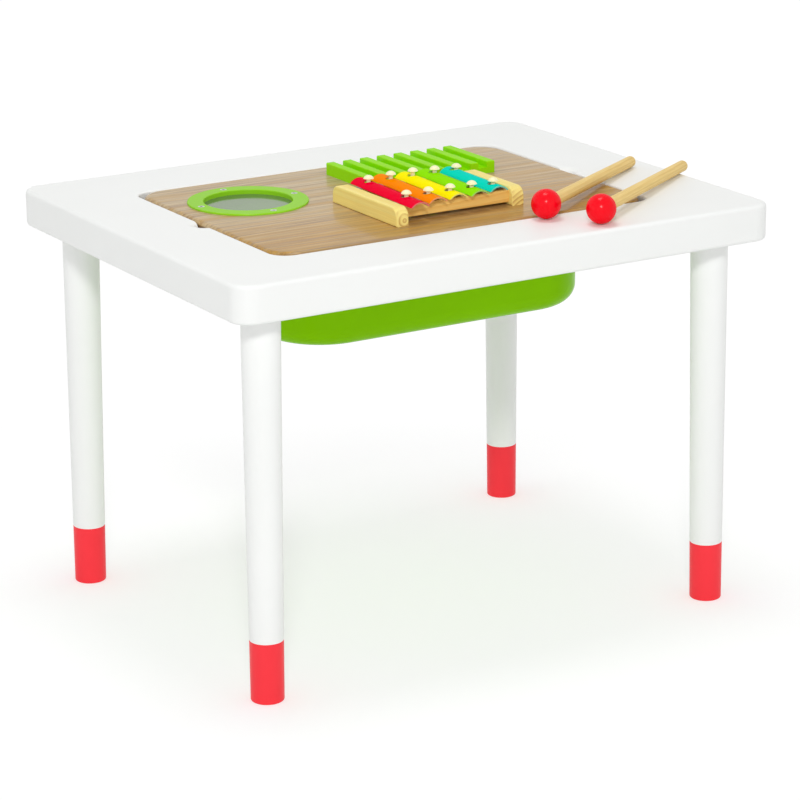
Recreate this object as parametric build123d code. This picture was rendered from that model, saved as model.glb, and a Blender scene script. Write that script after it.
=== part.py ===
from build123d import *

import os
from math import asin, atan2, cos, degrees, radians, sin

# Musical activity table for small children, as separate pieces in millimetres.
# +X runs along the table's long side, +Y away from the child at the front, +Z up.
# The origin is on the floor, below the centre of the table top.

# Table top: a thick slab with a stepped opening for the board and the tub.
table_height = 457.0
top_length = 654.0
top_width = 515.0
top_thickness = 40.6
top_corner_radius = 23.0
top_edge_radius = 4.5
underside_edge_radius = 4.0

# Stepped opening, seen from above. Its centre is a little off the slab's centre.
opening_length = 462.8
opening_width = 331.4
opening_corner_radius = 20.0
opening_x = -4.0
opening_y = -5.5
opening_edge_radius = 2.0
ledge_depth = 12.3

# Finger notches in the short sides of the opening, each a bell-mouthed pit.
notch_radius = 8.5
notch_reach = 4.6
notch_round = 12.5
notch_depth = 24.0

# Legs lean out a little, so the leg axis is wider apart at the floor.
leg_inset_x = 49.7
leg_inset_y = 49.9
leg_splay = 3.0
leg_top_radius = 20.5
leg_floor_radius = 17.6
foot_height = 66.3
foot_edge_radius = 1.8
foot_rim_radius = 0.5
spigot_radius = 12.4
spigot_length = 49.0

# Hanger bolts and threaded inserts that hold the legs.
bolt_radius = 4.0
bolt_length_in_leg = 30.0
bolt_length_in_top = 18.0
insert_radius = 6.0
insert_length = 20.0

# Tub that hangs by its rim in the opening.
tub_length = 385.6
tub_width = 253.8
tub_depth = 108.4
tub_corner_radius = 75.0
tub_bottom_radius = 20.0
tub_wall = 2.6
tub_rim_width = 9.0
tub_rim_thickness = 3.0
tub_rim_edge_radius = 0.8
tub_side_gap = 1.0
rim_side_gap = 0.7

# Activity board that lies on the ledge like a lid.
board_thickness = 12.5
board_side_gap = 1.2
board_corner_radius = 34.0
board_edge_radius = 6.0
board_lower_edge_radius = 1.0

# Drum: a plastic ring that holds a stiff skin over a well in the board.
drum_x = -143.2
drum_y = 61.7
ring_outer_radius = 66.0
ring_inner_radius = 48.3
ring_flange_thickness = 2.0
ring_edge_radius = 1.0
ring_neck_wall = 3.3
ring_neck_gap = 0.4
skin_depth = 3.1
skin_thickness = 0.8
skin_seat_width = 5.7
ring_screw_count = 4

# Wood screws.
screw_head_radius = 3.6
screw_shank_radius = 1.6
screw_recess_width = 0.9
screw_recess_span = 4.4
screw_recess_depth = 1.2
ring_screw_length = 9.0
block_screw_bite = 10.0

# Guiro: a ridged scraper block.
guiro_x = 75.05
guiro_y = 81.9
guiro_width = 93.6
guiro_height = 13.5
ridge_count = 8
ridge_width = 10.5
groove_width = 11.6
groove_depth = 6.8
ridge_edge_radius = 1.2
guiro_corner_radius = 1.5
guiro_screw_inset_y = 18.0

# Xylophone frame.
xylophone_x = 15.75
xylophone_y = -57.3
rail_spacing = 80.6
rail_depth = 16.0
rail_height = 13.5
rail_lift = 3.4
rail_edge_radius = 0.8
block_thickness = 15.1
block_height = 20.0
block_shift_y = -1.75
block_overhang_left = 27.1
block_overhang_right = 12.9
block_end_radius = 11.0
block_edge_radius = 1.6
block_side_gap = 3.45
block_screw_spacing = 44.0
dowel_radius = 2.5
dowel_bite = 6.0
felt_thickness = 1.3
felt_width = 9.0

# Xylophone bars: each is an arched plate that lies loose over two pins.
# Each entry holds the overhang before the front pin, the overhang behind the back pin,
# and how much higher the back pin stands than the front one.
bars = {
    "bar_red": (32.6, 22.0, 0.4),
    "bar_orange": (24.1, 23.5, 1.5),
    "bar_yellow": (21.2, 18.5, 1.7),
    "bar_green": (21.0, 19.0, 0.3),
    "bar_teal": (15.4, 13.2, -0.5),
}
bar_pitch = 27.2
bar_width = 22.6
bar_rise = 5.6
bar_thickness = 1.5
bar_hole_radius = 5.2
pin_head_radius = 5.7
pin_head_height = 3.8
pin_stem_radius = 2.3
pin_stem_above_bar = 2.65
pin_bite = 9.0

# Rows of pins, and how the bars lie over them. Each entry of pin_slip holds how far the
# middle pin stands right of its bar's middle, and how much that grows from bar to bar.
pin_row_shift = 2.7
bar_row_x = {"front": 0.2, "back": 2.8}
pin_slip = {"front": (1.1, 0.0), "back": (1.1, 0.7)}

# Mallets that lie across the board's right front corner.
# Each entry of mallet_spots holds the head's X and Y from the opening's centre.
mallet_head_radius = 16.0
mallet_reach = 265.5
mallet_heading = 35.06
mallet_spots = {"mallet_a": (84.7, -177.7), "mallet_b": (120.8, -227.4)}
handle_head_radius = 6.9
handle_end_radius = 6.3
handle_end_round = 3.4
handle_bite_past_centre = 3.0

# Clearances shared by all pieces.
seat_gap = 0.3
fit_gap = 0.05
bore_end_gap = 0.5

# Heights that follow from the sizes above.
underside = table_height - top_thickness
ledge = table_height - ledge_depth
rebate_floor = ledge - tub_rim_thickness - 2 * seat_gap
tub_top = rebate_floor + seat_gap + tub_rim_thickness
board_bottom = ledge + seat_gap
board_top = board_bottom + board_thickness
skin_top = board_top - skin_depth
skin_bottom = skin_top - skin_thickness
rail_bottom = board_top + rail_lift
rail_top = rail_bottom + rail_height
bar_seat = rail_top + felt_thickness
bar_crown = bar_seat + bar_rise

# Places in plan that follow from the sizes above.
drum_centre = (opening_x + drum_x, opening_y + drum_y)
guiro_centre = (opening_x + guiro_x, opening_y + guiro_y)
xylophone_centre = (opening_x + xylophone_x, opening_y + xylophone_y)
rail_y = {
    "front": xylophone_centre[1] - rail_spacing / 2,
    "back": xylophone_centre[1] + rail_spacing / 2,
}
pin_y = {row: y + pin_row_shift for row, y in rail_y.items()}
block_centre_y = xylophone_centre[1] + block_shift_y
rail_length = (len(bars) - 1) * bar_pitch + bar_width + 2 * block_side_gap
ring_neck_radius = ring_inner_radius + ring_neck_wall
well_radius = ring_neck_radius + ring_neck_gap
drum_hole_radius = well_radius - skin_seat_width
ring_screw_circle = (ring_inner_radius + ring_outer_radius) / 2
guiro_length = ridge_count * ridge_width + (ridge_count - 1) * groove_width

LEGS = {
    "front_left": (-1, -1),
    "front_right": (1, -1),
    "back_left": (-1, 1),
    "back_right": (1, 1),
}


def upright(solid, x, y, z):
    """Move a solid built at the origin to a place, without turning it."""
    return Pos(x, y, z) * solid


def plate(length, width, height, corner_radius):
    """Rounded plate centred in plan, with its lower face at z = 0."""
    return extrude(RectangleRounded(length, width, corner_radius), height)


def rod(radius, length):
    """Cylinder that stands on z = 0."""
    return Cylinder(radius, length, align=(Align.CENTER, Align.CENTER, Align.MIN))


def block(length, width, height):
    """Box centred in plan that stands on z = 0."""
    return Box(length, width, height, align=(Align.CENTER, Align.CENTER, Align.MIN))


def edges_at(solid, height):
    """Edges that lie flat at one height."""
    return solid.edges().filter_by_position(Axis.Z, height - 0.01, height + 0.01)


# Screws


def screw_blank(length, extra=0.0):
    """Countersunk screw pointing down from z = 0, or its hole where extra is more than 0."""
    head_depth = screw_head_radius - screw_shank_radius
    head = Cone(
        screw_shank_radius + extra,
        screw_head_radius + extra,
        head_depth,
        align=(Align.CENTER, Align.CENTER, Align.MAX),
    )
    shank_length = length + (bore_end_gap if extra else 0.0)
    return head + Pos(0, 0, -shank_length) * rod(screw_shank_radius + extra, shank_length)


def screw(length):
    """Countersunk screw with a cross recess, pointing down from z = 0."""
    slot = Box(screw_recess_span, screw_recess_width, 2 * screw_recess_depth)
    return screw_blank(length) - slot - Rot(0, 0, 90) * slot


def screw_hole(length):
    """Clearance shape round a screw of this length."""
    return screw_blank(length, fit_gap)


def ring_screw_places():
    """Locations of the drum ring's screws, heads up."""
    spots = []
    for turn in range(ring_screw_count):
        angle = radians(360 / ring_screw_count * turn)
        x = drum_centre[0] + ring_screw_circle * cos(angle)
        y = drum_centre[1] + ring_screw_circle * sin(angle)
        spots.append(Pos(x, y, board_top + ring_flange_thickness))
    return spots


def guiro_screw_places():
    """Locations of the guiro's screws, heads down at the board's underside."""
    first_ridge = guiro_length / 2 - ridge_width / 2
    reach_x = first_ridge - ridge_width - groove_width
    reach_y = guiro_width / 2 - guiro_screw_inset_y
    return [
        Pos(guiro_centre[0] + side * reach_x, guiro_centre[1] + end * reach_y, board_bottom)
        * Rot(180, 0, 0)
        for side in (-1, 1)
        for end in (-1, 1)
    ]


def block_screw_places():
    """Locations of the xylophone's block screws, heads down at the board's underside."""
    return [
        Pos(block_x(side), block_centre_y + end * block_screw_spacing / 2, board_bottom)
        * Rot(180, 0, 0)
        for side in (-1, 1)
        for end in (-1, 1)
    ]


def board_screw_length():
    """Length of the screws that pass the board and bite into what stands on it."""
    return board_thickness + block_screw_bite


# Table top, legs and feet


def leg_axis_top(side_x, side_y):
    """Point where a leg's axis meets the slab."""
    x = side_x * (top_length / 2 - leg_inset_x)
    y = side_y * (top_width / 2 - leg_inset_y)
    return Vector(x, y, underside)


def leg_plane(side_x, side_y):
    """Plane at the floor whose normal runs up along the leaning leg."""
    top = leg_axis_top(side_x, side_y)
    floor = Vector(top.X + side_x * leg_splay, top.Y + side_y * leg_splay, 0)
    return Plane(origin=floor, z_dir=top - floor)


def leg_cone(low, high):
    """Stretch of the leg's taper between two distances along its axis."""
    fall = (leg_floor_radius - leg_top_radius) / underside
    return Pos(0, 0, low) * Cone(
        leg_floor_radius - fall * low,
        leg_floor_radius - fall * high,
        high - low,
        align=(Align.CENTER, Align.CENTER, Align.MIN),
    )


def bolt_bore_in_leg(side_x, side_y):
    """Vertical bore in the leg's top for the hanger bolt."""
    top = leg_axis_top(side_x, side_y)
    depth = bolt_length_in_leg + bore_end_gap
    return upright(rod(bolt_radius + fit_gap, depth), top.X, top.Y, top.Z - depth)


def leg(side_x, side_y):
    """White leg with a spigot that plugs into the foot."""
    overshoot = 2 * leg_top_radius
    shaft = leg_cone(foot_height, underside + overshoot)
    shaft = fillet(shaft.edges().sort_by(Axis.Z)[0], foot_rim_radius)
    shaft += Pos(0, 0, foot_height - spigot_length) * rod(spigot_radius, spigot_length)
    shaft = leg_plane(side_x, side_y) * shaft
    room = upright(block(4 * top_length, 4 * top_length, underside), 0, 0, 0)
    return (shaft & room) - bolt_bore_in_leg(side_x, side_y)


def foot(side_x, side_y):
    """Red foot cap, flush with the leg, cut level at the floor."""
    cap = leg_cone(-leg_floor_radius, foot_height)
    cap = fillet(cap.edges().sort_by(Axis.Z)[-1], foot_rim_radius)
    bore_depth = spigot_length + bore_end_gap
    cap -= Pos(0, 0, foot_height - bore_depth) * rod(spigot_radius + 2 * fit_gap, bore_depth)
    cap = leg_plane(side_x, side_y) * cap
    cap &= block(4 * top_length, 4 * top_length, table_height)
    return fillet(edges_at(cap, 0), foot_edge_radius)


def leg_bolts():
    """Hanger bolts, each half in its leg and half in its insert."""
    length = bolt_length_in_leg + bolt_length_in_top
    bolts = []
    for sides in LEGS.values():
        top = leg_axis_top(*sides)
        bolts.append(upright(rod(bolt_radius, length), top.X, top.Y, top.Z - bolt_length_in_leg))
    return bolts


def leg_inserts():
    """Threaded inserts, pressed into the slab from below."""
    ring = rod(insert_radius, insert_length) - rod(bolt_radius + fit_gap, insert_length)
    return [upright(ring, *leg_axis_top(*sides)) for sides in LEGS.values()]


def insert_bores():
    """Bores in the slab's underside for the inserts and the bolts' ends."""
    depth = max(insert_length, bolt_length_in_top) + bore_end_gap
    bore = rod(insert_radius + fit_gap, depth)
    return [upright(bore, *leg_axis_top(*sides)) for sides in LEGS.values()]


def stepped_opening():
    """Shape that is cut out of the slab for the board, the tub's rim and the tub."""
    recess = plate(opening_length, opening_width, ledge_depth, opening_corner_radius)
    rim_room = tub_rim_width + rim_side_gap
    rebate = plate(
        tub_length + 2 * rim_room,
        tub_width + 2 * rim_room,
        table_height - rebate_floor,
        tub_corner_radius + rim_room,
    )
    hole = plate(
        tub_length + 2 * tub_side_gap,
        tub_width + 2 * tub_side_gap,
        top_thickness,
        tub_corner_radius + tub_side_gap,
    )
    steps = upright(recess, opening_x, opening_y, ledge)
    steps += upright(rebate, opening_x, opening_y, rebate_floor)
    return steps + upright(hole, opening_x, opening_y, underside)


def finger_notch(side):
    """Bell-mouthed pit that is cut at the middle of a short side of the opening."""
    wall = opening_x + side * opening_length / 2
    axis_x = wall - side * (notch_radius - notch_reach)
    mouth_radius = notch_radius + notch_round
    pit = Pos(0, 0, -notch_depth) * rod(notch_radius, notch_depth)
    bell = Pos(0, 0, -notch_round) * rod(mouth_radius, notch_round)
    bell -= Pos(0, 0, -notch_round) * Torus(mouth_radius, notch_round)
    return upright(pit + bell, axis_x, opening_y, table_height)


def is_opening_edge(edge):
    """Whether an edge belongs to the opening and not to the slab's outer edge."""
    spot = edge.center()
    inside_x = abs(spot.X - opening_x) < opening_length / 2 + 0.01
    return inside_x and abs(spot.Y - opening_y) < opening_width / 2 + 0.01


def table_top():
    """White slab with its opening, notches and bores."""
    slab = plate(top_length, top_width, top_thickness, top_corner_radius)
    slab = fillet(edges_at(slab, top_thickness), top_edge_radius)
    slab = fillet(edges_at(slab, 0), underside_edge_radius)
    slab = upright(slab, 0, 0, underside) - stepped_opening()
    mouth = edges_at(slab, table_height).filter_by(is_opening_edge)
    slab = fillet(mouth, opening_edge_radius)
    for side in (-1, 1):
        slab -= finger_notch(side)
    for bore in insert_bores():
        slab -= bore
    return slab


# Tub


def tub():
    """Storage tub with rounded corners and a rim, open at the top."""
    shell = plate(tub_length, tub_width, tub_depth, tub_corner_radius)
    shell = fillet(edges_at(shell, 0), tub_bottom_radius)
    rim = plate(
        tub_length + 2 * tub_rim_width,
        tub_width + 2 * tub_rim_width,
        tub_rim_thickness,
        tub_corner_radius + tub_rim_width,
    )
    rim = fillet(edges_at(rim, tub_rim_thickness), tub_rim_edge_radius)
    hollow = plate(
        tub_length - 2 * tub_wall,
        tub_width - 2 * tub_wall,
        tub_depth,
        tub_corner_radius - tub_wall,
    )
    hollow = fillet(edges_at(hollow, 0), tub_bottom_radius - tub_wall)
    shell += Pos(0, 0, tub_depth - tub_rim_thickness) * rim
    shell -= Pos(0, 0, tub_wall) * hollow
    return upright(shell, opening_x, opening_y, tub_top - tub_depth)


# Board and drum


def activity_board():
    """Bamboo board with the drum well and the screw holes."""
    board = plate(
        opening_length - 2 * board_side_gap,
        opening_width - 2 * board_side_gap,
        board_thickness,
        board_corner_radius,
    )
    board = fillet(edges_at(board, board_thickness), board_edge_radius)
    board = fillet(edges_at(board, 0), board_lower_edge_radius)
    board = upright(board, opening_x, opening_y, board_bottom)
    board -= upright(rod(drum_hole_radius, board_thickness), *drum_centre, board_bottom)
    board -= upright(rod(well_radius, board_thickness), *drum_centre, skin_bottom)
    for place in ring_screw_places():
        board -= place * screw_hole(ring_screw_length)
    for place in guiro_screw_places() + block_screw_places():
        board -= place * screw_hole(board_screw_length())
    return board


def drum_ring():
    """Ring whose neck holds the skin down on its seat in the well."""
    neck_length = ring_flange_thickness + skin_depth
    ring = rod(ring_outer_radius, ring_flange_thickness)
    ring = Pos(0, 0, skin_depth) * fillet(edges_at(ring, ring_flange_thickness), ring_edge_radius)
    ring += rod(ring_neck_radius, neck_length - ring_edge_radius)
    ring -= rod(ring_inner_radius, neck_length)
    inner_edge = edges_at(ring, neck_length).sort_by(SortBy.LENGTH)[0]
    ring = upright(fillet(inner_edge, ring_edge_radius), *drum_centre, skin_top)
    for place in ring_screw_places():
        ring -= place * screw_hole(ring_screw_length)
    return ring


def drum_skin():
    """Stiff disc on the step of the well."""
    return upright(rod(ring_neck_radius, skin_thickness), *drum_centre, skin_bottom)


# Guiro


def guiro():
    """Scraper block with flat-topped ridges that run from front to back."""
    body = plate(guiro_length, guiro_width, guiro_height, guiro_corner_radius)
    pitch = ridge_width + groove_width
    for place in range(ridge_count - 1):
        x = (place - (ridge_count - 2) / 2) * pitch
        groove = block(groove_width, 2 * guiro_width, guiro_height)
        body -= Pos(x, 0, guiro_height - groove_depth) * groove
    body = fillet(edges_at(body, guiro_height), ridge_edge_radius)
    body = upright(body, *guiro_centre, board_top)
    for place in guiro_screw_places():
        body -= place * screw_hole(board_screw_length())
    return body


# Xylophone


def block_x(side):
    """X of a xylophone block's middle."""
    return xylophone_centre[0] + side * (rail_length + block_thickness) / 2


def rail_axis_height():
    """Height of the dowels' axes."""
    return rail_bottom + rail_height / 2


def dowels():
    """Dowels that join the rails to the blocks."""
    pegs = []
    for y in rail_y.values():
        for side in (-1, 1):
            x = xylophone_centre[0] + side * rail_length / 2
            peg = Rot(0, 90, 0) * Cylinder(dowel_radius, 2 * dowel_bite)
            pegs.append(upright(peg, x, y, rail_axis_height()))
    return pegs


def dowel_bores():
    """Bores round the dowels."""
    bores = []
    for y in rail_y.values():
        for side in (-1, 1):
            x = xylophone_centre[0] + side * rail_length / 2
            bore = Cylinder(dowel_radius + fit_gap, 2 * (dowel_bite + bore_end_gap))
            bores.append(upright(Rot(0, 90, 0) * bore, x, y, rail_axis_height()))
    return bores


def xylophone_block(side, overhang):
    """Wooden end block with rounded ends."""
    length = rail_spacing + 2 * overhang
    body = block(block_thickness, length, block_height)
    ends = body.edges().filter_by(Axis.X).group_by(Axis.Z)[-1]
    body = fillet(ends, block_end_radius)
    faces = body.faces().filter_by(Axis.X)
    body = fillet(faces.edges(), block_edge_radius)
    body = upright(body, block_x(side), block_centre_y, board_top)
    for bore in dowel_bores():
        body -= bore
    for place in block_screw_places():
        body -= place * screw_hole(board_screw_length())
    return body


def bar_place(name):
    """How many bars to the right of the middle one a bar lies."""
    return list(bars).index(name) - (len(bars) - 1) / 2


def hole_spot(name, row):
    """X and Y of one of the two holes in a bar."""
    x = xylophone_centre[0] + bar_row_x[row] + bar_place(name) * bar_pitch
    return x, pin_y[row]


def pin_spot(name, row):
    """X and Y of the pin that stands in that hole."""
    slip, growth = pin_slip[row]
    x, y = hole_spot(name, row)
    return x + slip + growth * bar_place(name), y


def xylophone_rail(row):
    """Rail that carries the felt and the pins."""
    rail = block(rail_length, rail_depth, rail_height)
    rail = fillet(rail.edges().filter_by(Axis.X), rail_edge_radius)
    rail = upright(rail, xylophone_centre[0], rail_y[row], rail_bottom)
    for bore in dowel_bores():
        rail -= bore
    depth = pin_bite + bore_end_gap
    for name in bars:
        bore = rod(pin_stem_radius + fit_gap, depth)
        rail -= upright(bore, *pin_spot(name, row), rail_top - depth)
    return rail


def felt_strip(row):
    """Felt on a rail, pierced by the pins."""
    strip = block(rail_length - 2 * rail_edge_radius, felt_width, felt_thickness)
    strip = upright(strip, xylophone_centre[0], pin_y[row], rail_top)
    for name in bars:
        hole = rod(pin_stem_radius + fit_gap, felt_thickness)
        strip -= upright(hole, *pin_spot(name, row), rail_top)
    return strip


def bar_pins(row):
    """Mushroom pins of one row, driven in to their own depths."""
    stem_length = pin_bite + bar_crown - rail_top + pin_stem_above_bar
    dome_radius = (pin_head_radius**2 + pin_head_height**2) / (2 * pin_head_height)
    dome = Pos(0, 0, pin_head_height - dome_radius) * Sphere(dome_radius)
    cap = dome & rod(pin_head_radius, pin_head_height)
    pin = rod(pin_stem_radius, stem_length) + Pos(0, 0, stem_length) * cap
    pins = []
    for name, (_, _, back_lift) in bars.items():
        lift = back_lift if row == "back" else 0.0
        pins.append(upright(pin, *pin_spot(name, row), rail_top - pin_bite + lift))
    return pins


def sound_bar(name):
    """Arched bar that runs along the line of its two holes, one over each pin."""
    front_overhang, back_overhang, _ = bars[name]
    front = Vector(*hole_spot(name, "front"), bar_seat)
    back = Vector(*hole_spot(name, "back"), bar_seat)
    span = (back - front).length
    length = front_overhang + span + back_overhang
    arch_radius = (bar_width**2 / 4 + bar_rise**2) / (2 * bar_rise)
    tube = Cylinder(arch_radius, length) - Cylinder(arch_radius - bar_thickness, length)
    tube = Pos(0, length / 2 - front_overhang, bar_rise - arch_radius) * Rot(90, 0, 0) * tube
    arch = tube & block(2 * arch_radius, 4 * length, bar_rise)
    for y in (0, span):
        arch -= Pos(0, y, 0) * rod(bar_hole_radius, 2 * bar_rise)
    turn = degrees(atan2(front.X - back.X, back.Y - front.Y))
    return Pos(front) * Rot(0, 0, turn) * arch


# Mallets


def mallet_plane(name):
    """Plane at the head's centre whose normal runs along the handle."""
    x, y = mallet_spots[name]
    centre_height = mallet_head_radius + seat_gap
    centre = (opening_x + x, opening_y + y, table_height + centre_height)
    end_height = handle_end_radius + seat_gap
    fall = asin((centre_height - end_height) / mallet_reach)
    heading = radians(mallet_heading)
    along = Vector(cos(heading) * cos(fall), sin(heading) * cos(fall), -sin(fall))
    return Plane(origin=centre, z_dir=along)


def mallet_head(name):
    """Ball with a blind bore for the handle."""
    bore_start = handle_bite_past_centre + bore_end_gap
    bore = Pos(0, 0, -bore_start) * rod(handle_head_radius + fit_gap, 2 * mallet_head_radius)
    return mallet_plane(name) * (Sphere(mallet_head_radius) - bore)


def mallet_handle(name):
    """Tapered dowel with a rounded far end."""
    length = mallet_reach + handle_bite_past_centre
    stick = Cone(
        handle_head_radius,
        handle_end_radius,
        length,
        align=(Align.CENTER, Align.CENTER, Align.MIN),
    )
    stick = fillet(stick.edges().sort_by(Axis.Z)[-1], handle_end_round)
    return mallet_plane(name) * Pos(0, 0, -handle_bite_past_centre) * stick


# All nodes


def nodes():
    """Every piece by name. Identical fasteners share one node as a list of solids."""
    found = {
        "table_top": table_top(),
        "leg_bolts": leg_bolts(),
        "leg_inserts": leg_inserts(),
        "tub": tub(),
        "activity_board": activity_board(),
        "drum_ring": drum_ring(),
        "drum_skin": drum_skin(),
        "ring_screws": [place * screw(ring_screw_length) for place in ring_screw_places()],
        "guiro": guiro(),
        "guiro_screws": [place * screw(board_screw_length()) for place in guiro_screw_places()],
        "block_screws": [place * screw(board_screw_length()) for place in block_screw_places()],
        "xylo_block_left": xylophone_block(-1, block_overhang_left),
        "xylo_block_right": xylophone_block(1, block_overhang_right),
        "rail_dowels": dowels(),
    }
    for name, sides in LEGS.items():
        found["leg_" + name] = leg(*sides)
        found["foot_" + name] = foot(*sides)
    for row in rail_y:
        found["xylo_rail_" + row] = xylophone_rail(row)
        found["felt_strip_" + row] = felt_strip(row)
        found["bar_pins_" + row] = bar_pins(row)
    for name in bars:
        found[name] = sound_bar(name)
    for name in mallet_spots:
        found[name + "_head"] = mallet_head(name)
        found[name + "_handle"] = mallet_handle(name)
    return found


os.makedirs("parts", exist_ok=True)
for node_name, piece in nodes().items():
    solid = Compound(children=piece) if isinstance(piece, list) else piece
    export_step(solid, f"parts/{node_name}.step")
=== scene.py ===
"""Musical activity table: finishes, floor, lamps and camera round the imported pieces.

Lengths are in metres, +X runs along the table's long side, +Y to its back, +Z up,
and the floor lies at Z 0. Colours are linear.
"""

from math import cos, radians, sin

import bpy
from mathutils import Matrix, Vector


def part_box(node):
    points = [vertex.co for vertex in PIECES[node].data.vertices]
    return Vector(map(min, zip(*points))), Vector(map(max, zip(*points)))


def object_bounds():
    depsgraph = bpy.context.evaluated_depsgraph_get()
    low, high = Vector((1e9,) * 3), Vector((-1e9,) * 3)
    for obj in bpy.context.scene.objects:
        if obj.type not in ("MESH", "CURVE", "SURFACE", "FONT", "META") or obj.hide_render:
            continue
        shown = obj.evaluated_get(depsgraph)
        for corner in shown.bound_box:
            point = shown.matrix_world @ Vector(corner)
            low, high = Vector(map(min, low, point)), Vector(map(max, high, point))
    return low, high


bl_info = {
    "name": "Musical Activity Table",
    "version": (1, 0, 0),
    "blender": (4, 5, 0),
    "location": "3D View > Sidebar > Activity Table",
    "description": "Finishes, floor, lamps and camera for a musical activity table",
    "category": "Object",
}

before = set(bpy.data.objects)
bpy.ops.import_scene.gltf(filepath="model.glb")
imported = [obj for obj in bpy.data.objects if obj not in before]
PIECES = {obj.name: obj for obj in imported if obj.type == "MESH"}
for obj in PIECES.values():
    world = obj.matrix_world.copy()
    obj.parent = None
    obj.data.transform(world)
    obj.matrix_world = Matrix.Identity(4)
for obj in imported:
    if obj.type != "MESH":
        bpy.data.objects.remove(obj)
CAD_LOW, CAD_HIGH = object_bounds()
SIDES = ("front_left", "front_right", "back_left", "back_right")
BARS = ("red", "orange", "yellow", "green", "teal")

# Span of soft noise over which masks are eased.
NOISE_LOW, NOISE_HIGH = 0.3, 0.7

# Noise features per metre along each axis. Grain runs along X.
FILM_PATCHES = 9.0
FILM_WIPES = (14.0, 60.0, 30.0)
RING_DRIFT = (7.0, 45.0, 45.0)
TIMBER_FIBRES = (28.0, 900.0, 900.0)
TIMBER_PATCHES = (5.0, 30.0, 30.0)
BAMBOO_DRIFT = (3.0, 120.0, 120.0)
BAMBOO_FIBRES = (16.0, 1000.0, 1000.0)
BAMBOO_BUNDLES = (5.0, 210.0, 210.0)
FELT_FIBRES = 2200.0
FELT_CLUMPS = 300.0

# Depth of the relief that bump nodes show, in metres.
TIMBER_RELIEF = 0.00006
BAMBOO_RELIEF = 0.00004
FELT_RELIEF = 0.0004


# Node wiring


def add(tree, kind, inputs=None, **settings):
    """Add a node, then set its properties and set or link its inputs."""
    node = tree.nodes.new(kind)
    for key, value in settings.items():
        setattr(node, key, value)
    for key, value in (inputs or {}).items():
        if isinstance(value, bpy.types.NodeSocket):
            tree.links.new(value, node.inputs[key])
        else:
            node.inputs[key].default_value = value
    return node


def maths(tree, operation, a, b=0.0, c=0.0):
    """Value of a Math node."""
    return add(tree, "ShaderNodeMath", {0: a, 1: b, 2: c}, operation=operation).outputs[0]


def ramp(tree, value, low, high, out_low=0.0, out_high=1.0):
    """Value eased from one range into another."""
    inputs = {0: value, 1: low, 2: high, 3: out_low, 4: out_high}
    node = add(tree, "ShaderNodeMapRange", inputs, interpolation_type="SMOOTHSTEP")
    return node.outputs[0]


def blend(tree, factor, a, b, kind="MIX"):
    """Colour between two colours."""
    inputs = {0: factor, 6: a, 7: b}
    return add(tree, "ShaderNodeMix", inputs, data_type="RGBA", blend_type=kind).outputs[2]


def grey(tree, value):
    """Grey of a given value."""
    return add(tree, "ShaderNodeCombineColor", {0: value, 1: value, 2: value}).outputs[0]


def axes_of(tree, vector):
    """X, Y and Z of a vector."""
    return add(tree, "ShaderNodeSeparateXYZ", {0: vector}).outputs


def normal_axes(tree):
    """X, Y and Z of the surface's own normal."""
    return axes_of(tree, add(tree, "ShaderNodeTexCoord").outputs["Normal"])


def noise(tree, vector, scale=1.0, detail=2.0, roughness=0.5):
    """Soft noise between about 0.3 and 0.7."""
    inputs = {"Vector": vector, "Scale": scale, "Detail": detail, "Roughness": roughness}
    return add(tree, "ShaderNodeTexNoise", inputs).outputs["Fac"]


def long_noise(tree, vector, features, detail=2.0, roughness=0.5):
    """Soft noise with its own number of features per metre along each axis."""
    inputs = {0: vector, 1: features}
    longer = add(tree, "ShaderNodeVectorMath", inputs, operation="MULTIPLY").outputs[0]
    return noise(tree, longer, detail=detail, roughness=roughness)


def arrange(tree):
    """Lay a tree's nodes out from left to right in the order of their links."""
    column = {node.name: 0 for node in tree.nodes}
    for _ in tree.nodes:
        for link in tree.links:
            after = column[link.from_node.name] + 1
            column[link.to_node.name] = max(column[link.to_node.name], after)
    filled = {}
    for node in tree.nodes:
        place = column[node.name]
        filled[place] = filled.get(place, 0) + 1
        node.location = (240 * place, -260 * filled[place])


def new_group(name, inputs, outputs):
    """Shader node group with named sockets, and its two end nodes."""
    tree = bpy.data.node_groups.new(name, "ShaderNodeTree")
    for label, kind, value in inputs:
        socket = tree.interface.new_socket(label, in_out="INPUT", socket_type="NodeSocket" + kind)
        if value is not None:
            socket.default_value = value
    for label, kind in outputs:
        tree.interface.new_socket(label, in_out="OUTPUT", socket_type="NodeSocket" + kind)
    return tree, tree.nodes.new("NodeGroupInput"), tree.nodes.new("NodeGroupOutput")


# Shared effects


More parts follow.
